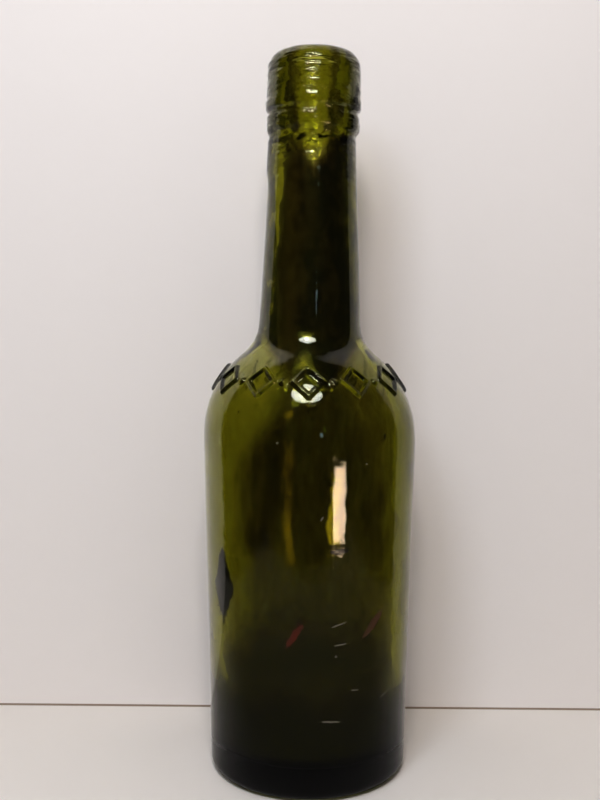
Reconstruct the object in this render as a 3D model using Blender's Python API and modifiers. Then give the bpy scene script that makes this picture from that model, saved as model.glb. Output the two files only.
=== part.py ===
"""Bitters bottle: one piece of thick dark olive glass, blown in a mould, with a tooled lip.

A stout round body tapers a little towards its heel. Above it come rounded shoulders with a band
of raised lozenges and beads, a long neck that leans slightly to its right, and a heavy lip with
two rings round its foot. The bottle is empty and has no cork, so it is open down to its floor.
Metres, +Z up. The origin is the centre of the base and the front of the bottle faces -Y.
"""

import math

import bmesh
import bpy
import numpy as np

MM = 0.001

# Heights above the surface that the bottle stands on
HEIGHT = 210.0 * MM
LIP_SIDE_TOP = 204.5 * MM
LIP_SIDE_FOOT = 196.8 * MM
UPPER_RING_TOP = 195.8 * MM
UPPER_RING_FOOT = 193.5 * MM
GROOVE = 192.4 * MM
LOWER_RING_TOP = 191.2 * MM
LOWER_RING_FOOT = 187.8 * MM
NECK_TOP = 186.0 * MM
NECK_ROOT = 127.57 * MM
SHOULDER = 112.56 * MM
BODY_MIDDLE = 60.0 * MM
PUSH_UP = 7.5 * MM
FLOOR_CENTRE = 13.5 * MM
FLOOR_EDGE = 8.0 * MM
BORE_STEP_FOOT = 180.0 * MM
BORE_TOP = 208.6 * MM

# Outer radii
LIP_RADIUS = 13.25 * MM
LIP_FOOT_RADIUS = 13.6 * MM
UPPER_RING_RADIUS = 13.95 * MM
GROOVE_RADIUS = 12.9 * MM
LOWER_RING_RADIUS = 13.6 * MM
NECK_TOP_RADIUS = 12.45 * MM
NECK_ROOT_RADIUS = 15.2 * MM
SHOULDER_RADIUS = 31.69 * MM
HEEL_RADIUS = 29.05 * MM
PUSH_UP_RADIUS = 21.5 * MM

# Inner radii: the walls are about 6 mm thick in the body and 3 mm in the neck
MOUTH_RADIUS = 8.8 * MM
BORE_RADIUS = 8.0 * MM
BORE_FOOT_RADIUS = 8.3 * MM
NECK_TOP_BORE = 9.8 * MM
NECK_ROOT_BORE = 11.9 * MM
SHOULDER_BORE = 26.1 * MM
FLOOR_RADIUS = 24.6 * MM
FLOOR_DOME_RADIUS = 19.2 * MM

# How far the outline leans off the axis: the neck to +X, the shoulder a little to -X
LEAN_START = 100.0 * MM
NECK_LEAN = 0.85 * MM
LEAN_CURVE = 1.6
SHOULDER_SWAY = 0.5 * MM
SWAY_HEIGHT = 121.0 * MM
SWAY_SPREAD = 14.0 * MM

# The raised band on the shoulder
FIGURES = 12
BAND_HEIGHT = 116.6 * MM
LOZENGE_HALF_WIDTH = 4.1 * MM
LOZENGE_HALF_HEIGHT = 3.5 * MM
RIB_RADIUS = 0.65 * MM
RIB_STEPS_PER_SIDE = 2
BEAD_RADIUS = 1.35 * MM
BEAD_SINK = 0.6 * MM

# Facets
TURN_STEPS = 48
CHORD_ERROR = 0.06 * MM
MERGE = 0.00001

OLIVE_GLASS = (0.045, 0.048, 0.006, 1.0)


def rounded(corners):
    """The outline through (radius, height, fillet) corners, each fillet a tangent arc.

    An arc has as many chords as keep its middle within CHORD_ERROR of the true curve.
    """
    outline = [np.array(corners[0][:2])]
    for before, corner, after in zip(corners, corners[1:], corners[2:]):
        here = np.array(corner[:2])
        fillet = corner[2]
        back = np.array(before[:2]) - here
        ahead = np.array(after[:2]) - here
        back /= np.linalg.norm(back)
        ahead /= np.linalg.norm(ahead)
        opening = math.acos(np.clip(back @ ahead, -1, 1))
        if fillet == 0:
            outline.append(here)
            continue
        reach = fillet / math.tan(opening / 2)
        middle = (back + ahead) / np.linalg.norm(back + ahead)
        centre = here + middle * fillet / math.sin(opening / 2)
        first = here + back * reach - centre
        start = math.atan2(first[1], first[0])
        turn = first[0] * ahead[1] - first[1] * ahead[0]
        sweep = math.copysign(math.pi - opening, turn)
        steps = math.ceil(abs(sweep) / (2 * math.acos(1 - CHORD_ERROR / fillet)))
        for angle in start + sweep * np.linspace(0, 1, steps + 1):
            outline.append(centre + fillet * np.array([math.cos(angle), math.sin(angle)]))
    outline.append(np.array(corners[-1][:2]))
    return np.array(outline)


def dome(edge_radius, edge_height, centre_height, steps):
    """A shallow cap from its edge to the axis: height rises as the cosine of the radius."""
    radius = edge_radius * np.linspace(1, 0, steps + 1)
    rise = (np.cos(math.pi * radius / edge_radius) + 1) / 2
    return np.column_stack([radius, edge_height + (centre_height - edge_height) * rise])


def lip_crown():
    """A quarter ellipse from the mouth's edge over to the side of the lip."""
    angle = np.linspace(math.pi / 2, 0, 6)
    radius = MOUTH_RADIUS + (LIP_RADIUS - MOUTH_RADIUS) * np.cos(angle)
    height = LIP_SIDE_TOP + (HEIGHT - LIP_SIDE_TOP) * np.sin(angle)
    return np.column_stack([radius, height])


def outer_outline():
    """The outside, from the mouth's edge down to the middle of the push-up."""
    side = rounded([
        (LIP_RADIUS, LIP_SIDE_TOP, 0),
        (LIP_FOOT_RADIUS, LIP_SIDE_FOOT, 0),
        (UPPER_RING_RADIUS, UPPER_RING_TOP, 0.8 * MM),
        (UPPER_RING_RADIUS, UPPER_RING_FOOT, 0.8 * MM),
        (GROOVE_RADIUS, GROOVE, 0.8 * MM),
        (LOWER_RING_RADIUS, LOWER_RING_TOP, 1.0 * MM),
        (LOWER_RING_RADIUS, LOWER_RING_FOOT, 1.2 * MM),
        (NECK_TOP_RADIUS, NECK_TOP, 1.5 * MM),
        (NECK_ROOT_RADIUS, NECK_ROOT, 10.6 * MM),
        (SHOULDER_RADIUS, SHOULDER, 31.0 * MM),
        (HEEL_RADIUS, 0, 4.0 * MM),
        (PUSH_UP_RADIUS, 0, 0),
    ])
    return np.concatenate([lip_crown(), side[1:-1], dome(PUSH_UP_RADIUS, 0, PUSH_UP, 7)])


def inner_outline():
    """The inside, from the middle of the floor up to just below the mouth's edge."""
    floor = dome(FLOOR_DOME_RADIUS, FLOOR_EDGE, FLOOR_CENTRE, 5)[::-1]
    side = rounded([
        (FLOOR_DOME_RADIUS, FLOOR_EDGE, 0),
        (FLOOR_RADIUS, FLOOR_EDGE, 4.0 * MM),
        (SHOULDER_BORE, SHOULDER, 26.0 * MM),
        (NECK_ROOT_BORE, NECK_ROOT, 10.0 * MM),
        (NECK_TOP_BORE, BORE_STEP_FOOT, 10.0 * MM),
        (BORE_FOOT_RADIUS, NECK_TOP, 6.0 * MM),
        (BORE_RADIUS, BORE_TOP, 1.0 * MM),
        (MOUTH_RADIUS, HEIGHT, 0),
    ])
    return np.concatenate([floor, side[1:-1]])


def on_shoulder(azimuth, height):
    """The point of the outer wall at this angle round the axis and this height."""
    outline = outer_outline()[::-1]
    shoulder = outline[(outline[:, 1] > BODY_MIDDLE) & (outline[:, 1] < NECK_TOP)]
    radius = np.interp(height, shoulder[:, 1], shoulder[:, 0])
    return radius * math.cos(azimuth), radius * math.sin(azimuth), height


def plain_object(name, data, collection):
    made = bpy.data.objects.new(name, data)
    collection.objects.link(made)
    return made


def evaluated_mesh(source):
    """The object's mesh with its modifiers or its curve's bevel worked out."""
    bpy.context.view_layer.update()
    graph = bpy.context.evaluated_depsgraph_get()
    return bpy.data.meshes.new_from_object(source.evaluated_get(graph))


def turned_glass(collection):
    """The whole wall in one turn: up the inside, over the mouth and down the outside."""
    outline = np.concatenate([inner_outline(), outer_outline()])
    points = [(radius, 0, height) for radius, height in outline]
    links = [(i, i + 1) for i in range(len(points) - 1)]
    profile = bpy.data.meshes.new("bottle")
    profile.from_pydata(points, links, [])
    glass = plain_object("bottle", profile, collection)
    turn = glass.modifiers.new("turn", "SCREW")
    turn.axis = "Z"
    turn.angle = 2 * math.pi
    turn.steps = TURN_STEPS
    turn.render_steps = TURN_STEPS
    turn.use_merge_vertices = True
    turn.merge_threshold = MERGE
    turn.use_smooth_shade = True
    return glass


def lozenge_rib(index, collection):
    """A lozenge of round rib lying on the shoulder, half sunk in the glass."""
    middle = 2 * math.pi * index / FIGURES - math.pi / 2
    round_the_axis = on_shoulder(0, BAND_HEIGHT)[0]
    half_angle = LOZENGE_HALF_WIDTH / round_the_axis
    corners = [(0, 1), (1, 0), (0, -1), (-1, 0)]
    route = []
    for here, after in zip(corners, corners[1:] + corners[:1]):
        for step in range(RIB_STEPS_PER_SIDE):
            part = step / RIB_STEPS_PER_SIDE
            across = here[0] + (after[0] - here[0]) * part
            up = here[1] + (after[1] - here[1]) * part
            height = BAND_HEIGHT + up * LOZENGE_HALF_HEIGHT
            route.append(on_shoulder(middle + across * half_angle, height))
    curve = bpy.data.curves.new(f"lozenge_{index}", "CURVE")
    curve.dimensions = "3D"
    curve.bevel_depth = RIB_RADIUS
    curve.bevel_resolution = 1
    spline = curve.splines.new("POLY")
    spline.points.add(len(route) - 1)
    for point, place in zip(spline.points, route):
        point.co = (*place, 1)
    spline.use_cyclic_u = True
    wire = plain_object(f"lozenge_wire_{index}", curve, collection)
    rib = evaluated_mesh(wire)
    bpy.data.objects.remove(wire)
    return plain_object(f"lozenge_{index}", rib, collection)


def bead(index, collection):
    """A round bead half-way between two lozenges, its middle a little inside the glass."""
    azimuth = 2 * math.pi * (index + 0.5) / FIGURES - math.pi / 2
    x, y, z = on_shoulder(azimuth, BAND_HEIGHT)
    inwards = 1 - BEAD_SINK / math.hypot(x, y)
    form = bmesh.new()
    bmesh.ops.create_uvsphere(form, u_segments=8, v_segments=6, radius=BEAD_RADIUS)
    bmesh.ops.translate(form, verts=form.verts, vec=(x * inwards, y * inwards, z - BEAD_SINK))
    mesh = bpy.data.meshes.new(f"bead_{index}")
    form.to_mesh(mesh)
    form.free()
    return plain_object(f"bead_{index}", mesh, collection)


def raise_band(glass):
    """Fuses the ribs and beads to the wall, as the mould forms them in one with it."""
    figures = bpy.data.collections.new("raised_band")
    bpy.context.scene.collection.children.link(figures)
    for index in range(FIGURES):
        lozenge_rib(index, figures)
        bead(index, figures)
    union = glass.modifiers.new("raised_band", "BOOLEAN")
    union.operation = "UNION"
    union.operand_type = "COLLECTION"
    union.collection = figures
    union.solver = "EXACT"
    fused = evaluated_mesh(glass)
    glass.modifiers.clear()
    glass.data = fused
    for figure in list(figures.objects):
        bpy.data.objects.remove(figure)
    bpy.data.collections.remove(figures)


def lean(glass):
    """Shifts each point to the side by an amount that depends on its height alone."""
    points = np.empty(len(glass.data.vertices) * 3)
    glass.data.vertices.foreach_get("co", points)
    points = points.reshape(-1, 3)
    height = points[:, 2]
    climb = np.clip((height - LEAN_START) / (HEIGHT - LEAN_START), 0, 1)
    sway = np.exp(-(((height - SWAY_HEIGHT) / SWAY_SPREAD) ** 2))
    points[:, 0] += NECK_LEAN * climb**LEAN_CURVE - SHOULDER_SWAY * sway
    glass.data.vertices.foreach_set("co", points.ravel())
    glass.data.update()


def olive_glass():
    """Dark olive bottle glass, clear and smooth, with iron in it for the colour."""
    material = bpy.data.materials.new("olive_glass")
    material.use_nodes = True
    shader = material.node_tree.nodes["Principled BSDF"]
    shader.inputs["Base Color"].default_value = OLIVE_GLASS
    shader.inputs["Roughness"].default_value = 0.04
    shader.inputs["Metallic"].default_value = 0.0
    shader.inputs["IOR"].default_value = 1.52
    shader.inputs["Transmission Weight"].default_value = 0.8
    return material


for leftover in list(bpy.data.objects):
    bpy.data.objects.remove(leftover)

parts = bpy.data.collections.new("bitters_bottle")
bpy.context.scene.collection.children.link(parts)
bottle = turned_glass(parts)
raise_band(bottle)
lean(bottle)
bottle.data.materials.clear()
bottle.data.materials.append(olive_glass())
bottle.data.shade_smooth()
bottle.data.set_sharp_from_angle(angle=math.radians(40))
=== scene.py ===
import math

import bpy
import numpy as np
from mathutils import Matrix, Vector


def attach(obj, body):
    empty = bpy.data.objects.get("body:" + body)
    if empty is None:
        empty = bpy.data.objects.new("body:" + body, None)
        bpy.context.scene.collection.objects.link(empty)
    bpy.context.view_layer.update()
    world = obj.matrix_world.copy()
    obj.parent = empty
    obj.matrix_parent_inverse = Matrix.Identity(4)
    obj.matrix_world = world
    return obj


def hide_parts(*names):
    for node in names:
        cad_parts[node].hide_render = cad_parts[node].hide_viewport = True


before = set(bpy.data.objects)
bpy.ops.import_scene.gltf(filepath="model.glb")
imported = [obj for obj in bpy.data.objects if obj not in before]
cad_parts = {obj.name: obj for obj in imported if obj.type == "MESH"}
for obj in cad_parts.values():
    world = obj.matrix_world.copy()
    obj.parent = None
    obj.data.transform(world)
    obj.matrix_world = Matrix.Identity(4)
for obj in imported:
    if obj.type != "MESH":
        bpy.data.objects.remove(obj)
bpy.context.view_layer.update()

# An old bitters bottle of dark olive glass, empty, standing on a pale shelf before a pale wall.
# Metres, +Z up, the origin under the middle of the base, the front facing -Y.
MM = 0.001


# The camera: a hand-held view from just above the shoulder, 0.3 m in front of the bottle's axis.
# Its place and lens come from the bottle's own outline. The long side of the picture is 24 mm,
# and the picture's mid tones are darker than in Blender's plain view, as a phone makes them.
PICTURE_HEIGHT = 800
FOCAL_LENGTH = 1003.45
CAMERA_PLACE = (0.0, -296.0 * MM, 132.9 * MM)
LOOK_DOWN = math.radians(4.48)
LOOK_LEFT = math.radians(0.55)
TILT = math.radians(0.30)
SENSOR = 24.0
CONTRAST = 0.75

ahead = Vector((
    -math.sin(LOOK_LEFT) * math.cos(LOOK_DOWN),
    math.cos(LOOK_LEFT) * math.cos(LOOK_DOWN),
    -math.sin(LOOK_DOWN),
))
level_right = Vector((math.cos(LOOK_LEFT), math.sin(LOOK_LEFT), 0))
level_up = level_right.cross(ahead)
right = math.cos(TILT) * level_right + math.sin(TILT) * level_up
up = math.cos(TILT) * level_up - math.sin(TILT) * level_right

lens = bpy.data.cameras.new("camera")
lens.sensor_width = SENSOR
lens.lens = SENSOR * FOCAL_LENGTH / PICTURE_HEIGHT
lens.clip_start = 10 * MM
camera = bpy.data.objects.new("camera", lens)
facing = Matrix((right, up, -ahead)).transposed().to_4x4()
camera.matrix_world = Matrix.Translation(CAMERA_PLACE) @ facing
bpy.context.scene.collection.objects.link(camera)
bpy.context.scene.camera = camera
bpy.context.scene.view_settings.view_transform = "Standard"
bpy.context.scene.view_settings.gamma = CONTRAST


# The glass: one gather of thick bottle glass, blown into a mould and finished by hand at the lip.
# The outside is the mould's, with a raised band on the shoulder. The inside is free, so the wall
# is uneven. The lip was laid on afterwards and turned with a tool, which left rings and ridges.
HEIGHT = 210.0 * MM

# Each corner is (radius, height, fillet) in mm: the outside from the ring it stands on up to the
# lip, and the inside from the mouth down to the floor.
OUTSIDE = [
    (21.5, 0.0, 0.0),
    (29.05, 0.0, 4.0),
    (31.69, 112.56, 31.0),
    (15.2, 127.57, 10.6),
    (12.45, 186.0, 1.5),
    (13.6, 187.8, 1.2),
    (13.6, 191.2, 1.0),
    (12.9, 192.4, 0.8),
    (13.95, 193.5, 0.8),
    (13.95, 195.8, 0.8),
    (13.7, 196.8, 0.4),
    (13.6, 204.5, 0.0),
]
INSIDE = [
    (8.8, 210.0, 0.0),
    (8.0, 208.6, 1.0),
    (8.3, 186.0, 6.0),
    (9.8, 180.0, 10.0),
    (11.9, 127.57, 10.0),
    (26.5, 109.6, 24.0),
    (24.6, 8.0, 4.0),
    (19.2, 8.0, 0.0),
]
PUSH_UP_RADIUS, PUSH_UP = 21.5, 7.5
FLOOR_RADIUS, FLOOR_EDGE, FLOOR_CENTRE = 19.2, 8.0, 13.5
MOUTH_RADIUS, LIP_RADIUS, LIP_SIDE_TOP = 8.8, 13.6, 204.5

# How far apart the rows of points are at each height, in mm, closer where the shape is fine.
OUTER_HEIGHTS = [0, 3, 8, 95, 104, 110.5, 111.5, 121.5, 122.5, 136, 165, 182, 186, 198, 206, 210]
OUTER_SPACING = [
    2.2, 0.8, 6.0, 6.0, 2.0, 1.2, 0.29, 0.29, 1.0, 4.0, 4.0, 1.0, 0.44, 0.44, 0.44, 0.8,
]
INNER_HEIGHTS = [8, 12, 20, 95, 130, 178, 181, 188, 192, 206, 210]
INNER_SPACING = [1.6, 1.2, 6.0, 4.0, 2.0, 4.0, 0.6, 0.6, 3.0, 2.0, 0.5]
COLUMNS = 360
BAND_COLUMNS = 720
INSIDE_COLUMNS = 180
BAND_LOW, BAND_HIGH = 111.0, 122.0

# The raised band: its figures, in mm, stand in a row round the shoulder.
FIGURES = 12
BAND_HEIGHT = 116.6
LOZENGE_WIDTH, LOZENGE_HEIGHT = 4.1, 4.4
STROKE, STROKE_RISE = 0.85, 0.8
BEAD_RADIUS, BEAD_SINK = 1.35, 0.6

# The neck leans to the right from a height up and the shoulder sways to the left, in mm.
LEAN, LEAN_FROM, LEAN_RUN = 0.85, 100.0, 110.0
SWAY, SWAY_HEIGHT, SWAY_RUN = 0.5, 121.0, 14.0

# What the hand and the free blowing left, in mm: waves of both skins, the turned lip's marks, the
# fold of glass under its left side and the ledge inside where the lip was laid on.
MEAN_RADIUS = 25
SLOW_WAVE, SHORT_WAVE, SINK = 0.05, 0.02, 0.12
COLLAR_WAVE, COLLAR_MOST, TOOL_MARK = 0.16, 0.05, 0.09
FOLD, FOLD_LOW, FOLD_HIGH = 0.7, 177, 184
INNER_WAVE, INNER_SHORT_WAVE, NECK_THIN_RIGHT, BORE_TIGHT = 0.30, 0.10, 0.6, 0.6
LEDGE_HEIGHT, LEDGE, LEDGE_UNEVEN, LOWER_LEDGE, LOWER_LEDGE_DROP = 186.0, 0.45, 0.35, 0.4, 4.2


def rounded(corners, arc_points=40):
    """The line through (radius, height, fillet) corners, each fillet a tangent arc."""
    line = [np.array(corners[0][:2])]
    for before, corner, after in zip(corners, corners[1:], corners[2:]):
        here, fillet = np.array(corner[:2]), corner[2]
        back = np.array(before[:2]) - here
        on = np.array(after[:2]) - here
        back, on = back / np.linalg.norm(back), on / np.linalg.norm(on)
        opening = math.acos(np.clip(back @ on, -1, 1))
        middle = (back + on) / np.linalg.norm(back + on)
        centre = here + middle * fillet / math.sin(opening / 2)
        first = back * fillet / math.tan(opening / 2) + here - centre
        turn = np.sign(first[0] * on[1] - first[1] * on[0]) * (math.pi - opening)
        angle = math.atan2(first[1], first[0]) + turn * np.linspace(0, 1, arc_points)
        line.extend(centre + fillet * np.column_stack([np.cos(angle), np.sin(angle)]))
    line.append(np.array(corners[-1][:2]))
    return np.array(line)


def dome(edge_radius, edge_height, centre_height):
    """From the axis to the edge of a shallow cap: the height falls as the radius's cosine."""
    radius = edge_radius * np.linspace(0, 1, 40)
    rise = (np.cos(math.pi * radius / edge_radius) + 1) / 2
    return np.column_stack([radius, edge_height + (centre_height - edge_height) * rise])


def crown():
    """The lip's round top, a quarter ellipse from its side over to the mouth."""
    angle = np.linspace(0, math.pi / 2, 40)
    radius = MOUTH_RADIUS + (LIP_RADIUS - MOUTH_RADIUS) * np.cos(angle)
    height = LIP_SIDE_TOP + (HEIGHT / MM - LIP_SIDE_TOP) * np.sin(angle)
    return np.column_stack([radius, height])


def rows_along(line, heights, spacings):
    """Radius, height and unit normal of each row of points along a line.

    The rows lie closer where the shape is fine: spacings says how far apart they are at each of
    heights. The normal is the line's direction turned a quarter to the right of its run.
    """
    step = np.linalg.norm(np.diff(line, axis=0), axis=1)
    line = line[np.concatenate([[True], step > 1e-6])]
    length = np.concatenate([[0], np.cumsum(np.linalg.norm(np.diff(line, axis=0), axis=1))])
    fine_step = 0.02
    fine = np.arange(0, length[-1], fine_step)
    radius = np.interp(fine, length, line[:, 0])
    height = np.interp(fine, length, line[:, 1])
    tally = np.cumsum(fine_step / np.interp(height, heights, spacings))
    count = math.ceil(tally[-1])
    at = np.interp(np.linspace(tally[0], tally[-1], count), tally, fine)
    run = np.gradient(np.column_stack([radius, height]), axis=0)
    run /= np.linalg.norm(run, axis=1)[:, None]
    right_of_run = np.column_stack([run[:, 1], -run[:, 0]])
    rows = np.column_stack([
        np.interp(at, fine, radius),
        np.interp(at, fine, height),
        np.interp(at, fine, right_of_run[:, 0]),
        np.interp(at, fine, right_of_run[:, 1]),
        at,
    ])
    return rows.T


def ripple(azimuth, height, length, seed):
    """Waves of about this length, mostly between -1 and 1: ten cosines, added and divided by 4.

    Each has a whole number of cycles round the bottle, so the waves meet behind it.
    """
    draw = np.random.default_rng(seed)
    most = 2 * math.pi * MEAN_RADIUS / length
    total = 0
    for _ in range(10):
        cycles = round(draw.uniform(0, most))
        climb = 2 * math.pi / length * draw.uniform(-1, 1)
        total = total + np.cos(cycles * azimuth + climb * height + draw.uniform(0, 2 * math.pi))
    return total / 4


def smooth_step(value):
    """0 below 0, 1 above 1, and the cubic 3t^2 - 2t^3 between."""
    value = np.clip(value, 0, 1)
    return value * value * (3 - 2 * value)


def between(height, low, high, fade):
    """1 from low to high, falling smoothly to 0 over fade on either side."""
    return smooth_step((height - low) / fade + 1) * smooth_step((high - height) / fade + 1)


def raised_band(azimuth, radius, along):
    """How far the mould's figures stand out, in mm: lozenge frames, with a bead between two.

    along is the distance up the shoulder from the band's middle. A frame's stroke rises as
    (1 - d^2)^1.5, with d the distance to its middle line over its half width, and a bead is the
    cap of a ball sunk in the glass.
    """
    draw = np.random.default_rng(5)
    raised = np.zeros(np.broadcast(azimuth, along).shape)
    for index in range(FIGURES):
        middle = 2 * math.pi * index / FIGURES - math.pi / 2
        turn = draw.uniform(-0.05, 0.05)
        wide = LOZENGE_WIDTH * draw.uniform(0.95, 1.04)
        tall = LOZENGE_HEIGHT * draw.uniform(0.95, 1.03)
        across = ((azimuth - middle + math.pi) % (2 * math.pi) - math.pi) * radius
        u, v = np.abs(across + turn * along), np.abs(along - turn * across)
        share = np.clip(((wide - u) * wide + v * tall) / (wide**2 + tall**2), 0, 1)
        off = np.hypot(u - wide * (1 - share), v - tall * share)
        rib = STROKE_RISE * np.maximum(1 - (off / STROKE) ** 2, 0) ** 1.5
        raised = np.maximum(raised, rib)
        middle += math.pi / FIGURES
        across = ((azimuth - middle + math.pi) % (2 * math.pi) - math.pi) * radius
        off = np.hypot(across, along - draw.uniform(-0.3, 0.3))
        cap = np.sqrt(np.maximum(BEAD_RADIUS**2 - off**2, 0)) - BEAD_SINK
        raised = np.maximum(raised, cap)
    return raised


def lean(height):
    """Sideways shift in mm: the neck leans to the right and the shoulder sways to the left."""
    climb = np.clip((height - LEAN_FROM) / LEAN_RUN, 0, 1)
    return LEAN * climb**1.6 - SWAY * np.exp(-(((height - SWAY_HEIGHT) / SWAY_RUN) ** 2))


def turned(columns, rows, push):
    """Rings of points round the axis. push moves each along its normal, in mm."""
    azimuth = 2 * math.pi * np.arange(columns) / columns
    radius, height, out, rise, along = [part[:, None] for part in rows]
    push = push(azimuth[None, :], radius, height, along)
    new_radius = radius + out * push
    new_height = height + rise * push
    x = new_radius * np.cos(azimuth) + lean(height)
    y = new_radius * np.sin(azimuth)
    return np.stack([x, y, np.broadcast_to(new_height, x.shape)], axis=2) * MM


outside = np.concatenate([
    dome(PUSH_UP_RADIUS, 0.0, PUSH_UP),
    rounded(OUTSIDE),
    crown(),
])
outer_rows = rows_along(outside, OUTER_HEIGHTS, OUTER_SPACING)
band_middle = np.interp(BAND_HEIGHT, outer_rows[1][3:], outer_rows[4][3:])


def rings_by_hand(azimuth, height):
    """The turning tool's marks: fine level ridges, 0.7 to 4 mm apart, that fade round the lip."""
    draw = np.random.default_rng(21)
    total = 0
    for length in (0.7, 0.9, 1.2, 1.6, 2.1, 2.8, 3.8):
        cycles, climb = draw.integers(1, 5, 2), 2 * math.pi / length
        sway = 0.5 * np.cos(cycles[0] * azimuth + draw.uniform(0, 6.3))
        wave = np.cos(climb * (height + sway) + draw.uniform(0, 6.3))
        fade = 0.65 + 0.35 * np.cos(cycles[1] * azimuth + draw.uniform(0, 6.3))
        total = total + wave * fade * length
    return total / 7


def push_outside(azimuth, radius, height, along):
    """The mould's figures, slow waves all over, and the lip's uneven collar, marks and fold.

    The fold is a bell of the angle from the left side, faded out above and below.
    """
    band = between(height, BAND_LOW, BAND_HIGH, 1.0)
    figures = raised_band(azimuth, radius, along - band_middle) * band
    waves = SLOW_WAVE * ripple(azimuth, height, 30, 1)
    waves = waves + SHORT_WAVE * ripple(azimuth, height, 8, 2) - SINK
    waves = waves * between(height, 6, 205, 4)
    collar = COLLAR_WAVE * ripple(azimuth, height, 14, 3) * between(height, 187, 198, 3)
    marks = TOOL_MARK * rings_by_hand(azimuth, height) * between(height, 186, 207, 3)
    fold = FOLD * np.exp(-(((azimuth - math.pi) / 0.4) ** 2))
    fold = fold * between(height, FOLD_LOW, FOLD_HIGH, 5)
    return figures + waves + np.minimum(collar, COLLAR_MOST) + marks + fold


inner_rows = rows_along(
    np.concatenate([rounded(INSIDE), dome(FLOOR_RADIUS, FLOOR_EDGE, FLOOR_CENTRE)[::-1]]),
    INNER_HEIGHTS,
    INNER_SPACING,
)


def push_inside(azimuth, radius, height, along):
    """Towards the hollow: waves in the wall's thickness and the ledge where the lip was laid.

    The ledge is a bell of the height about a wavering line, with a broken one below it.
    """
    waves = INNER_WAVE * ripple(azimuth, height, 40, 11)
    waves = waves + INNER_SHORT_WAVE * ripple(azimuth, height, 12, 12)
    waves = waves * between(height, 16, 200, 8)
    ledge_height = LEDGE_HEIGHT + 0.8 * ripple(azimuth, 0, 14, 13)
    uneven = LEDGE + LEDGE_UNEVEN * ripple(azimuth, 0, 9, 14)
    ledge = uneven * np.exp(-(((height - ledge_height) / 0.9) ** 2))
    lower = np.exp(-(((height - ledge_height + LOWER_LEDGE_DROP) / 0.7) ** 2))
    ledge = ledge + LOWER_LEDGE * (ripple(azimuth, 0, 12, 15) > 0) * lower
    thin_right = -NECK_THIN_RIGHT * np.cos(azimuth) * between(height, 132, 180, 12)
    tight = BORE_TIGHT * between(height, 190, 203, 6)
    return waves + ledge + thin_right + tight


def sew(lower, upper):
    """Triangles between two rings of point numbers, facing right of the way from one to the other.

    A ring with fewer points than the other has each of its points used more than once.
    """
    count = max(len(lower), len(upper))
    low, high = np.repeat(lower, count // len(lower)), np.repeat(upper, count // len(upper))
    next_low, next_high = np.roll(low, -1), np.roll(high, -1)
    made = np.concatenate([
        np.column_stack([low, next_low, next_high]),
        np.column_stack([low, next_high, high]),
    ])
    flat = (made[:, 0] == made[:, 1]) | (made[:, 1] == made[:, 2]) | (made[:, 2] == made[:, 0])
    return made[~flat]


def skin(rings):
    """All points of the rings in one list, and the triangles that join each ring to the next."""
    starts = np.cumsum([0] + [len(ring) for ring in rings])
    numbers = [np.arange(start, end) for start, end in zip(starts, starts[1:])]
    faces = [sew(low, high) for low, high in zip(numbers, numbers[1:])]
    return np.concatenate(rings), np.concatenate(faces)


def smooth_mesh(name, points, faces):
    """A smooth-shaded mesh of triangles from arrays of points and point numbers."""
    mesh = bpy.data.meshes.new(name)
    mesh.vertices.add(len(points))
    mesh.vertices.foreach_set("co", points.astype(np.float32).ravel())
    mesh.loops.add(faces.size)
    mesh.loops.foreach_set("vertex_index", faces.astype(np.int32).ravel())
    mesh.polygons.add(len(faces))
    mesh.polygons.foreach_set("loop_start", np.arange(0, faces.size, 3, dtype=np.int32))
    mesh.polygons.foreach_set("use_smooth", np.ones(len(faces), bool))
    mesh.update(calc_edges=True)
    mesh.validate()
    return mesh


def pole(height):
    """One point on the axis."""
    return np.array([[lean(height) * MM, 0, height * MM]])


fine_rows = (outer_rows[1] > BAND_LOW - 0.5) & (outer_rows[1] < BAND_HIGH + 0.5)
plain_ring = turned(COLUMNS, outer_rows, push_outside)
fine_ring = turned(BAND_COLUMNS, outer_rows[:, fine_rows], push_outside)
fine_ring = iter(fine_ring)
rings = [pole(PUSH_UP)]
rings += [next(fine_ring) if fine else ring for ring, fine in zip(plain_ring[1:], fine_rows[1:])]
outer_count = sum(len(ring) for ring in rings)
rings += list(turned(INSIDE_COLUMNS, inner_rows, push_inside)[1:-1])
rings += [pole(FLOOR_CENTRE)]
points, faces = skin(rings)


def seeds(count):
    """Small gas bubbles drawn out up the wall: balls of 8 columns and 5 rows between two poles.

    Each is stretched up to 3 times and lies 0.8 to 2.5 mm under the outside. Its faces look into
    the bubble, which is out of the glass.
    """
    draw = np.random.default_rng(31)
    around, across = 8, 5
    turn = 2 * math.pi * np.arange(around) / around
    polar = math.pi * np.arange(1, across + 1) / (across + 1)
    ball = [np.array([[0, 0, 1.0]])]
    for angle in polar:
        level = np.full(around, math.cos(angle))
        ball.append(np.column_stack([
            math.sin(angle) * np.cos(turn), math.sin(angle) * np.sin(turn), level,
        ]))
    ball.append(np.array([[0, 0, -1.0]]))
    ball, facets = skin(ball)
    places, sides = [], []
    for index in range(count):
        height = draw.choice([draw.uniform(12, 108), draw.uniform(125, 205)], p=[0.7, 0.3])
        azimuth = draw.uniform(0, 2 * math.pi)
        radius = np.interp(height, outer_rows[1][3:], outer_rows[0][3:]) - draw.uniform(0.8, 2.5)
        size = 0.10 + 0.22 * draw.random() ** 3
        shape = ball * [size, size, size * draw.uniform(1, 3)]
        middle = [radius * math.cos(azimuth) + lean(height), radius * math.sin(azimuth), height]
        places.append((shape + middle) * MM)
        sides.append(facets + index * len(ball))
    return np.concatenate(places), np.concatenate(sides)


SEEDS = 70
seed_points, seed_faces = seeds(SEEDS)

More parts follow.
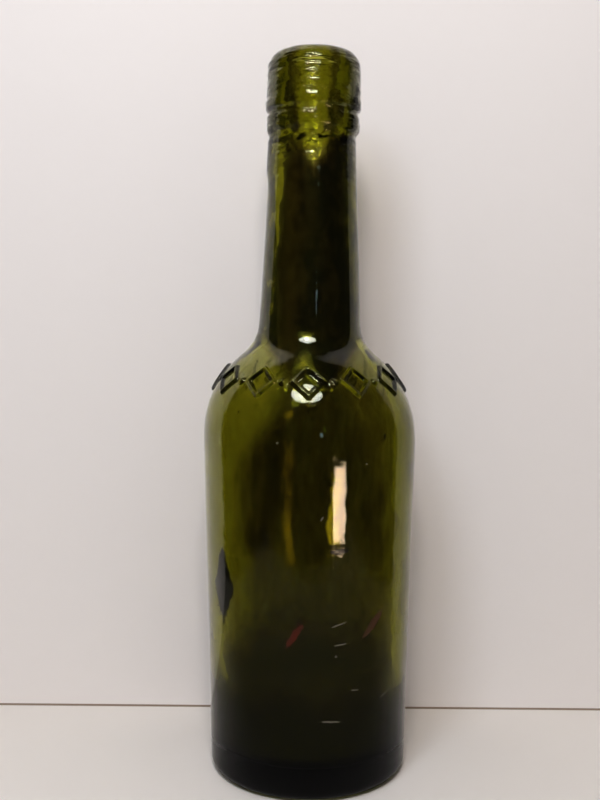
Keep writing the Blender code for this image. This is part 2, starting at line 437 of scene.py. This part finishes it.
on_inside = np.arange(len(points) + len(seed_points)) >= outer_count
on_inside[len(points):] = False
faces = np.concatenate([faces, seed_faces + len(points)])
points = np.concatenate([points, seed_points])
glass = bpy.data.objects.new("olive_glass", smooth_mesh("olive_glass", points, faces))
bpy.context.scene.collection.objects.link(glass)
inside = glass.data.attributes.new("inside", "FLOAT", "POINT")
inside.data.foreach_set("value", on_inside.astype(np.float32))


def linear(hex_colour, alpha=1.0):
    """An sRGB colour such as "#8a8f3c" as the linear values that a shader takes."""
    channels = [int(hex_colour[i:i + 2], 16) / 255 for i in (1, 3, 5)]
    return (*[c / 12.92 if c <= 0.04045 else ((c + 0.055) / 1.055) ** 2.4 for c in channels], alpha)


def add(tree, kind, settings, inputs):
    """A node with its settings and its inputs.

    An input is a value, the socket that feeds it, or the node whose first output feeds it.
    """
    made = tree.nodes.new(kind)
    for name, value in settings.items():
        setattr(made, name, value)
    for name, value in inputs.items():
        if isinstance(value, bpy.types.Node):
            value = value.outputs[0]
        if isinstance(value, bpy.types.NodeSocket):
            tree.links.new(value, made.inputs[name])
        else:
            made.inputs[name].default_value = value
    return made


# Bottle glass, soda-lime with iron and sulphur: clear but dark, so its colour comes from its
# thickness. The numbers are its absorption of red, green and blue light, per metre.
TAKEN = np.array([120.0, 120.0, 440.0])

# A dull dark film on the inside, partly a dried film and partly painted shade: thick and dark at
# the bottom, up the neck and at the sides of the lip's bore, faint in the body, with a darker
# curtain and one black spindle on its left.
NECK_AXIS = 0.8 * MM
WAVY_BY = 16 * MM
TONGUE = 1.6
BODY_LEANS_FROM, BODY_LEANS = 88 * MM, 0.5
CURTAIN_PLACE, CURTAIN_FILM_AND_SHADE = -13.5 * MM, 0.26
SPINDLE_PLACE = (-22.0 * MM, -12.2 * MM, 57.5 * MM)
SPINDLE_SIZE = (5 * MM, 5 * MM, 12 * MM)
SPINDLE_RAGGED = 0.8
FILM_AND_SHADE_TAKES = {"Red": 1.8, "Green": 2.1, "Blue": 2.4}
FILM_AND_SHADE_STOPS = 2.5

# Wear on the outside: pale scratches, pale specks that are small chips with painted glints, rusty
# smears, a brown one, and dark specks. Each has its colour, how far it covers the glass, and its
# marks. A mark is the angle from the front in degrees, the height in mm, the slant in degrees, and
# the half length and half width in mm.
WEAR_AND_GLINTS = [
    # Pale scratches, and pale specks painted where small chips glint.
    ("#a8a296", 0.4, [
        (-16.0, 100.5, 0, 0.35, 0.35), (29.9, 94.6, 0, 0.4, 0.3), (6.5, 80.2, 54, 0.9, 0.3),
        (14.7, 41.9, 60, 0.4, 0.3), (16.0, 50.7, 15, 2.4, 0.25), (16.8, 45.1, 5, 1.9, 0.3),
        (25.8, 31.8, -10, 1.5, 0.2), (48.0, 28.7, 18, 3.2, 0.3), (13.0, 23.5, -4, 3.8, 0.35),
        (150, 60, 20, 2.5, 0.3), (-120, 85, -35, 1.6, 0.25), (-165, 33, 5, 3.0, 0.3),
        (95, 72, 40, 1.8, 0.25), (-75, 50, 10, 2.0, 0.3), (178, 98, 0, 0.4, 0.35),
    ]),
    ("#7c3a26", 0.5, [(-7.4, 47.7, 58, 4.6, 1.1), (165, 80, 50, 3.5, 0.9)]),
    ("#6e4e38", 0.6, [(36.7, 49.8, 46, 5.5, 1.3)]),
    ("#15120c", 0.9, [
        (-40.4, 108.1, 0, 0.35, 0.4), (41.4, 101.5, 80, 0.9, 0.4), (15.5, 71.0, 0, 3.0, 0.8),
        (-140, 104, 0, 0.4, 0.4), (110, 66, 20, 2.0, 0.7),
    ]),
]
MARK_DEPTH = 4 * MM
MARK_RAGGED = 2.0

# Relief that is too fine for the mesh: tool ridges on the neck's top and the lip, half as deep on
# the inside, the mould's faint orange peel and a fine grain.
NECK_RIDGE, LIP_RIDGE, PEEL, GRAIN = 0.45 * MM, 0.62 * MM, 0.05 * MM, 0.008 * MM


def bottle_glass():
    """Olive bottle glass: clear and glossy, with tool ridges, a dark film inside that is partly
    dried film and partly painted shade, and some wear with painted glints.
    """
    material = bpy.data.materials.new("olive_bottle_glass")
    material.use_nodes = True
    tree = material.node_tree
    tree.nodes.clear()

    plus, minus, times = {"operation": "ADD"}, {"operation": "SUBTRACT"}, {"operation": "MULTIPLY"}
    most, least = {"operation": "MAXIMUM"}, {"operation": "MINIMUM"}
    size, power = {"operation": "ABSOLUTE"}, {"operation": "POWER"}
    length = {"operation": "LENGTH"}
    smooth = {"interpolation_type": "SMOOTHSTEP"}

    place = add(tree, "ShaderNodeTexCoord", {}, {}).outputs["Object"]
    split = add(tree, "ShaderNodeSeparateXYZ", {}, {"Vector": place})
    across, height = split.outputs["X"], split.outputs["Z"]
    inner = add(tree, "ShaderNodeAttribute", {"attribute_name": "inside"}, {}).outputs["Fac"]
    outer = add(tree, "ShaderNodeMath", minus, {0: 1.0, 1: inner})

    # Each noise: its size in mm, its detail, its stretch in x, y and z, and its roughness.
    noise = {}
    for name, grain, detail, stretch, rough in [
        ("bottom", 9, 3, (1, 1, 1), 0.5),
        ("blotches", 3, 4, (1, 1, 0.6), 0.6),
        ("lip", 4, 3, (1, 1, 1), 0.5),
        ("run", 2.5, 4, (1, 1, 1), 0.5),
        ("streaks", 5, 4, (1, 1, 0.3), 0.5),
        ("ridges", 1.6, 3, (0.2, 0.2, 1), 0.5),
        ("peel", 3.5, 1, (1, 1, 1), 0.5),
        ("grain", 0.5, 3, (1, 1, 1), 0.5),
        ("mark", 0.45, 3, (1, 1, 1), 0.5),
    ]:
        stretched = add(tree, "ShaderNodeVectorMath", times, {0: place, 1: stretch})
        noise[name] = add(tree, "ShaderNodeTexNoise", {}, {
            "Vector": stretched, "Scale": 1 / (grain * MM), "Detail": detail, "Roughness": rough,
        })

    # The distances that the film and its painted shade are given by. At the bottom it has a wavy
    # edge.
    # In the neck both of its ends lie lower in the middle. In the body it starts further right
    # towards the shoulder.
    sideways = add(tree, "ShaderNodeMath", minus, {0: across, 1: NECK_AXIS})
    sideways = add(tree, "ShaderNodeMath", size, {0: sideways})
    waves = add(tree, "ShaderNodeMath", times, {0: noise["bottom"], 1: WAVY_BY})
    wavy = add(tree, "ShaderNodeMath", plus, {0: height, 1: waves})
    tongue = add(tree, "ShaderNodeMath", times, {0: sideways, 1: TONGUE})
    tongue = add(tree, "ShaderNodeMath", minus, {0: height, 1: tongue})
    above = add(tree, "ShaderNodeMath", minus, {0: height, 1: BODY_LEANS_FROM})
    above = add(tree, "ShaderNodeMath", most, {0: above, 1: 0.0})
    leaning = add(tree, "ShaderNodeMath", times, {0: above, 1: BODY_LEANS})
    leaning = add(tree, "ShaderNodeMath", minus, {0: across, 1: leaning})
    curtain_off = add(tree, "ShaderNodeMath", minus, {0: across, 1: CURTAIN_PLACE})
    curtain_off = add(tree, "ShaderNodeMath", size, {0: curtain_off})

    # The black spindle: the distance from its axis plus that up or down from its middle.
    away = add(tree, "ShaderNodeVectorMath", minus, {0: place, 1: SPINDLE_PLACE})
    away = add(tree, "ShaderNodeVectorMath", {"operation": "DIVIDE"}, {0: away, 1: SPINDLE_SIZE})
    away = add(tree, "ShaderNodeSeparateXYZ", {}, {"Vector": away})
    level = add(tree, "ShaderNodeCombineXYZ", {}, {"X": away.outputs["X"], "Y": away.outputs["Y"]})
    level = add(tree, "ShaderNodeVectorMath", length, {0: level})
    upright = add(tree, "ShaderNodeMath", size, {0: away.outputs["Z"]})
    spindle_off = add(tree, "ShaderNodeMath", plus, {0: level.outputs["Value"], 1: upright})
    ragged = add(tree, "ShaderNodeMath", times, {0: noise["run"], 1: SPINDLE_RAGGED})
    spindle_off = add(tree, "ShaderNodeMath", plus, {0: spindle_off, 1: ragged})

    # Each fade: what it is read from, where it starts and ends, and its values there.
    fade = {}
    for name, value, start, end, low, high in [
        ("bottom", wavy, 61 * MM, 27 * MM, 0.0, 1.0),
        ("neck_foot", tongue, 101 * MM, 110 * MM, 0.0, 1.0),
        ("neck_top", tongue, 183 * MM, 171 * MM, 0.0, 1.0),
        ("neck_left", across, -7.3 * MM, -8.8 * MM, 0.0, 0.92),
        ("neck_right", across, -8 * MM, 1 * MM, 0.66, 0.98),
        ("neck_blotches", noise["blotches"], 0.35, 0.65, 0.84, 1.08),
        ("lip_foot", height, 184 * MM, 190 * MM, 0.0, 1.0),
        ("lip_sides", sideways, 4 * MM, 7 * MM, 0.05, 0.8),
        ("lip_blotches", noise["lip"], 0.35, 0.65, 0.7, 1.1),
        ("run", spindle_off, 1.5, 1.3, 0.0, 1.0),
        ("body_streaks", noise["streaks"], 0.3, 0.7, 0.6, 1.4),
        ("body_left", leaning, -23 * MM, -16 * MM, 0.12, 0.42),
        ("body_foot", height, 62 * MM, 72 * MM, 0.75, 1.0),
        ("body_top", height, 120 * MM, 110 * MM, 0.0, 1.0),
        ("curtain_width", curtain_off, 8 * MM, 2 * MM, 0.0, 1.0),
        ("curtain_foot", height, 66 * MM, 74 * MM, 0.0, 1.0),
        ("curtain_top", height, 104 * MM, 94 * MM, 0.0, 1.0),
        ("ridges_foot", height, 164 * MM, 178 * MM, 0.0, 1.0),
        ("ridges_depth", height, 187 * MM, 190 * MM, NECK_RIDGE, LIP_RIDGE),
    ]:
        fade[name] = add(tree, "ShaderNodeMapRange", smooth, {
            "Value": value, "From Min": start, "From Max": end, "To Min": low, "To Max": high,
        })

    neck = add(tree, "ShaderNodeMath", most, {0: fade["neck_left"], 1: fade["neck_right"]})
    for factor in (fade["neck_foot"], fade["neck_top"], fade["neck_blotches"]):
        neck = add(tree, "ShaderNodeMath", times, {0: neck, 1: factor})
    lip = fade["lip_foot"]
    for factor in (fade["lip_sides"], fade["lip_blotches"]):
        lip = add(tree, "ShaderNodeMath", times, {0: lip, 1: factor})
    curtain = fade["curtain_width"]
    for factor in (fade["curtain_foot"], fade["curtain_top"], CURTAIN_FILM_AND_SHADE):
        curtain = add(tree, "ShaderNodeMath", times, {0: curtain, 1: factor})
    body = fade["body_streaks"]
    for factor in (fade["body_left"], fade["body_foot"]):
        body = add(tree, "ShaderNodeMath", times, {0: body, 1: factor})
    body = add(tree, "ShaderNodeMath", plus, {0: body, 1: curtain})
    body = add(tree, "ShaderNodeMath", times, {0: body, 1: fade["body_top"]})
    # Dried film and painted shade in one mask, which darkens and dulls the inside.
    film_and_shade = fade["bottom"]
    for other in (neck, lip, fade["run"], body):
        film_and_shade = add(tree, "ShaderNodeMath", most, {0: film_and_shade, 1: other})
    film_and_shade = add(tree, "ShaderNodeMath", least, {0: film_and_shade, 1: 1.0})
    film_and_shade = add(tree, "ShaderNodeMath", times, {0: film_and_shade, 1: inner})

    # The film and its painted shade take a little more blue than red, and stop the light where
    # thick.
    free_of_film_and_shade = add(tree, "ShaderNodeMath", minus, {0: 1.0, 1: film_and_shade})
    colour = add(tree, "ShaderNodeCombineColor", {}, {
        name: add(tree, "ShaderNodeMath", power, {0: free_of_film_and_shade, 1: takes})
        for name, takes in FILM_AND_SHADE_TAKES.items()
    }).outputs["Color"]
    stopped = add(tree, "ShaderNodeMath", power, {0: film_and_shade, 1: FILM_AND_SHADE_STOPS})
    clear = add(tree, "ShaderNodeMath", minus, {0: 1.0, 1: stopped})
    dull = add(tree, "ShaderNodeMapRange", smooth, {
        "Value": film_and_shade, "From Min": 0.5, "From Max": 0.85, "To Min": 0.02, "To Max": 0.25,
    })

    # A mark is an ellipsoid about its point of the wall, with an edge made ragged by a noise.
    ragged_by = add(tree, "ShaderNodeMath", times, {0: noise["mark"], 1: MARK_RAGGED})
    for tone, worn, marks in WEAR_AND_GLINTS:
        patch = 0.0
        for turn, level, slant, long, wide in marks:
            turn, slant = math.radians(turn), math.radians(slant)
            radius = np.interp(level, outer_rows[1][3:], outer_rows[0][3:])
            out = Vector((math.sin(turn), -math.cos(turn), 0))
            level_way = Vector((math.cos(turn), math.sin(turn), 0))
            along = math.cos(slant) * level_way + math.sin(slant) * Vector((0, 0, 1))
            axes = Matrix((along, out.cross(along), out)).transposed()
            local = add(tree, "ShaderNodeMapping", {"vector_type": "TEXTURE"}, {
                "Vector": place, "Location": (out * radius + Vector((0, 0, level))) * MM,
                "Rotation": axes.to_euler(), "Scale": (long * MM, wide * MM, MARK_DEPTH),
            })
            off = add(tree, "ShaderNodeVectorMath", length, {0: local})
            off = add(tree, "ShaderNodeMath", plus, {0: off.outputs["Value"], 1: ragged_by})
            mark = add(tree, "ShaderNodeMapRange", smooth, {
                "Value": off, "From Min": 1.95, "From Max": 1.65,
            })
            patch = add(tree, "ShaderNodeMath", most, {0: patch, 1: mark})
        for factor in (outer, worn):
            patch = add(tree, "ShaderNodeMath", times, {0: patch, 1: factor})
        seen = add(tree, "ShaderNodeMapRange", smooth, {"Value": patch, "From Max": 0.15})
        mixed = add(tree, "ShaderNodeMix", {"data_type": "RGBA"}, {
            0: seen, 6: colour, 7: linear(tone),
        })
        colour = mixed.outputs[2]
        bare = add(tree, "ShaderNodeMath", minus, {0: 1.0, 1: patch})
        clear = add(tree, "ShaderNodeMath", times, {0: clear, 1: bare})

    half = add(tree, "ShaderNodeMath", times, {0: inner, 1: 0.5})
    half = add(tree, "ShaderNodeMath", minus, {0: 1.0, 1: half})
    relief = noise["ridges"]
    for factor in (fade["ridges_foot"], fade["ridges_depth"], half):
        relief = add(tree, "ShaderNodeMath", times, {0: relief, 1: factor})
    for name, deep in (("peel", PEEL), ("grain", GRAIN)):
        fine = add(tree, "ShaderNodeMath", times, {0: noise[name], 1: deep})
        relief = add(tree, "ShaderNodeMath", plus, {0: relief, 1: fine})
    bump = add(tree, "ShaderNodeBump", {}, {"Height": relief, "Strength": 1.0, "Distance": 1.0})

    # The node absorbs density x (1 - colour), so the density is just over the most taken.
    density = float(TAKEN.max()) / 0.99
    volume = add(tree, "ShaderNodeVolumeAbsorption", {}, {
        "Color": (*(1 - TAKEN / density), 1.0), "Density": density,
    })
    shader = add(tree, "ShaderNodeBsdfPrincipled", {}, {
        "Base Color": colour, "Roughness": dull, "IOR": 1.52, "Transmission Weight": clear,
        "Normal": bump,
    })
    add(tree, "ShaderNodeOutputMaterial", {}, {
        "Surface": shader.outputs["BSDF"], "Volume": volume.outputs["Volume"],
    })
    return material


glass.data.materials.append(bottle_glass())
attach(glass, "root")
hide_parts("bottle")


# The stage: a pale painted shelf and, close behind the bottle, a pale painted wall. Only their
# middle is mirrored in the glass, with painted light and shade in its mirror image: the wall
# brightest on its left and the shelf at its back.
WALL = 41.0 * MM
WALL_HEIGHT = 700.0 * MM
SHELF_FRONT = -230.0 * MM
WALL_SIDE = 225.0 * MM
STAGE_SIDE = 600.0 * MM
FOOT_LINE = 0.7 * MM


def plane(name, corners, material):
    """A flat piece of the stage: one face through its corners."""
    mesh = bpy.data.meshes.new(name)
    mesh.from_pydata(corners, [], [tuple(range(len(corners)))])
    mesh.materials.append(material)
    made = bpy.data.objects.new(name, mesh)
    bpy.context.scene.collection.objects.link(made)
    return made


def paint(name, colour, mirrored, one_sided=False):
    """Flat emulsion paint: matt and even, with painted light and shade only in its mirror image. A
    one-sided wall lets all light through from behind.

    mirrored is how bright its mirror image in the glass is: a centre, the stretch of x and y
    about it, the distances at which the fall from near to far starts and ends, and both values.
    """
    material = bpy.data.materials.new(name)
    material.use_nodes = True
    tree = material.node_tree
    tree.nodes.clear()
    centre, stretch, start, end, near, far = mirrored
    place = add(tree, "ShaderNodeTexCoord", {}, {}).outputs["Object"]
    away = add(tree, "ShaderNodeVectorMath", {"operation": "SUBTRACT"}, {0: place, 1: centre})
    away = add(tree, "ShaderNodeVectorMath", {"operation": "MULTIPLY"}, {
        0: away.outputs["Vector"], 1: stretch,
    })
    away = add(tree, "ShaderNodeVectorMath", {"operation": "LENGTH"}, {0: away.outputs["Vector"]})
    image = add(tree, "ShaderNodeMapRange", {"interpolation_type": "SMOOTHSTEP"}, {
        "Value": away.outputs["Value"], "From Min": start, "From Max": end,
        "To Min": near, "To Max": far,
    })
    # Painted light and shade in the mirror image: glossy rays see the paint scaled by the image
    # value.
    path = add(tree, "ShaderNodeLightPath", {}, {})
    seen = add(tree, "ShaderNodeMath", {"operation": "SUBTRACT", "use_clamp": True}, {
        0: path.outputs["Is Glossy Ray"], 1: path.outputs["Is Transmission Ray"],
    })
    strength = add(tree, "ShaderNodeMix", {}, {
        0: seen.outputs["Value"], 2: 1.0, 3: image.outputs["Result"],
    })
    tone = add(tree, "ShaderNodeVectorMath", {"operation": "SCALE"}, {
        0: linear(colour)[:3], "Scale": strength.outputs[0],
    })
    shader = add(tree, "ShaderNodeBsdfDiffuse", {}, {"Color": tone.outputs["Vector"]})
    surface = shader.outputs["BSDF"]
    if one_sided:
        clear = add(tree, "ShaderNodeBsdfTransparent", {}, {})
        side = add(tree, "ShaderNodeNewGeometry", {}, {})
        mixed = add(tree, "ShaderNodeMixShader", {}, {
            "Fac": side.outputs["Backfacing"], 1: surface, 2: clear.outputs["BSDF"],
        })
        surface = mixed.outputs["Shader"]
    add(tree, "ShaderNodeOutputMaterial", {}, {"Surface": surface})
    return material


wall_paint = paint("wall_paint", "#efebe8", (
    (-WALL_SIDE, WALL, 0), (1, 0, 0), 0.1, 0.4, 1.45, 1.0,
), one_sided=True)
shelf_paint = paint("shelf_paint", "#ece8e3", (
    (0, WALL, 0), (1, 3, 0), 0.04, 0.30, 1.0, 0.3,
))
corner_shade_paint = paint("corner_shade_paint", "#a89a8c", ((0, WALL, 0), (1, 1, 1), 0.5, 1.0, 1.0, 1.0))
sections = [
    ("_left", -STAGE_SIDE, -WALL_SIDE),
    ("", -WALL_SIDE, WALL_SIDE),
    ("_right", WALL_SIDE, STAGE_SIDE),
]
for side, left, right in sections:
    wall = plane("wall" + side, [
        (left, WALL, 0), (right, WALL, 0), (right, WALL, WALL_HEIGHT), (left, WALL, WALL_HEIGHT),
    ], wall_paint)
    wall.visible_glossy = side == ""
back = WALL + 1 * MM
for side, left, right in sections:
    shelf = plane("shelf" + side, [
        (left, SHELF_FRONT, 0), (right, SHELF_FRONT, 0), (right, back, 0), (left, back, 0),
    ], shelf_paint)
    shelf.visible_glossy = shelf.visible_transmission = shelf.visible_diffuse = side == ""

# Painted shade: a thin dark line where the shelf meets the wall, for the shade in that corner.
front = WALL - 0.1 * MM
corner_shade = plane("wall_foot", [
    (-STAGE_SIDE, front, 0), (STAGE_SIDE, front, 0),
    (STAGE_SIDE, front, FOOT_LINE), (-STAGE_SIDE, front, FOOT_LINE),
], corner_shade_paint)
corner_shade.visible_glossy = corner_shade.visible_transmission = corner_shade.visible_diffuse = False


# The light: a soft lamp high in front, which is mirrored on the shoulder, with a key and a fill
# that light the paint, a window's glint in front and warm light low on the right.
# They are aimed at these two places on the front of the bottle.
SHOULDER = (0, -30 * MM, 110 * MM)
BODY = (0, -30 * MM, 85 * MM)
WHITE, COOL, WINDOW, WARM = "#ffffff", "#e7f1ff", "#c4e4ff", "#ffe4c8"
KEY = "#fff9f6"


def soft_light(name, azimuth, elevation, distance, width, height, radiance, colour, aim=SHOULDER):
    """A flat light seen from aim at this direction, as wide and tall as said in degrees.

    Its power is its radiance times pi times its area. Its distance is in metres.
    """
    data = bpy.data.lights.new(name, "AREA")
    data.shape = "RECTANGLE"
    data.size = 2 * distance * math.tan(math.radians(width) / 2)
    data.size_y = 2 * distance * math.tan(math.radians(height) / 2)
    data.energy = radiance * math.pi * data.size * data.size_y
    data.color = linear(colour)[:3]
    a, e = math.radians(azimuth), math.radians(elevation)
    way = Vector((math.sin(a) * math.cos(e), -math.cos(a) * math.cos(e), math.sin(e)))
    made = bpy.data.objects.new(name, data)
    made.location = Vector(aim) + way * distance
    made.rotation_mode = "QUATERNION"
    made.rotation_quaternion = way.to_track_quat("Z", "Y")
    bpy.context.scene.collection.objects.link(made)
    return made


lamp_panel = soft_light("lamp_panel", -4, 51.5, 0.9, 29, 21, 12.0, WHITE)
lamp_core = soft_light("lamp_core", -9, 49, 0.88, 8, 5, 40.0, WHITE)
key = soft_light("key", -1, 46, 0.58, 12, 14, 34.5, KEY)
fill = soft_light("fill", -22, 44, 0.5, 14, 30, 9.0, COOL)
window = soft_light("window", 13.5, 5.7, 1.0, 1.8, 4.8, 8.0, WINDOW)
warm = soft_light("warm", 33.5, -12.6, 0.5, 14, 9, 18.5, WARM, aim=BODY)
for made in (lamp_panel, lamp_core):
    made.data.shape = "ELLIPSE"
for made in (lamp_panel, lamp_core, window, warm):
    made.visible_diffuse = False
for made in (key, fill):
    made.visible_glossy = False

# The room: its colour, how strongly it lights the stage and how bright its mirror image is.
ROOM, ROOM_LIT, ROOM_MIRRORED = "#e7e2de", 0.32, 0.06


def surroundings():
    """Pale behind the stage, a weak light on it, and dim where the glass mirrors the dark room."""
    world = bpy.data.worlds.new("studio")
    bpy.context.scene.world = world
    world.use_nodes = True
    tree = world.node_tree
    tree.nodes.clear()
    path = add(tree, "ShaderNodeLightPath", {}, {})
    mirrored = add(tree, "ShaderNodeMath", {"operation": "SUBTRACT", "use_clamp": True}, {
        0: path.outputs["Is Glossy Ray"], 1: path.outputs["Is Transmission Ray"],
    })
    strength = add(tree, "ShaderNodeMapRange", {}, {
        "Value": mirrored.outputs["Value"], "To Min": ROOM_LIT, "To Max": ROOM_MIRRORED,
    })
    seen = add(tree, "ShaderNodeMath", {"operation": "MAXIMUM"}, {
        0: strength.outputs["Result"], 1: path.outputs["Is Camera Ray"],
    })
    light = add(tree, "ShaderNodeBackground", {}, {
        "Color": linear(ROOM), "Strength": seen.outputs["Value"],
    })
    add(tree, "ShaderNodeOutputWorld", {}, {"Surface": light.outputs["Background"]})


surroundings()
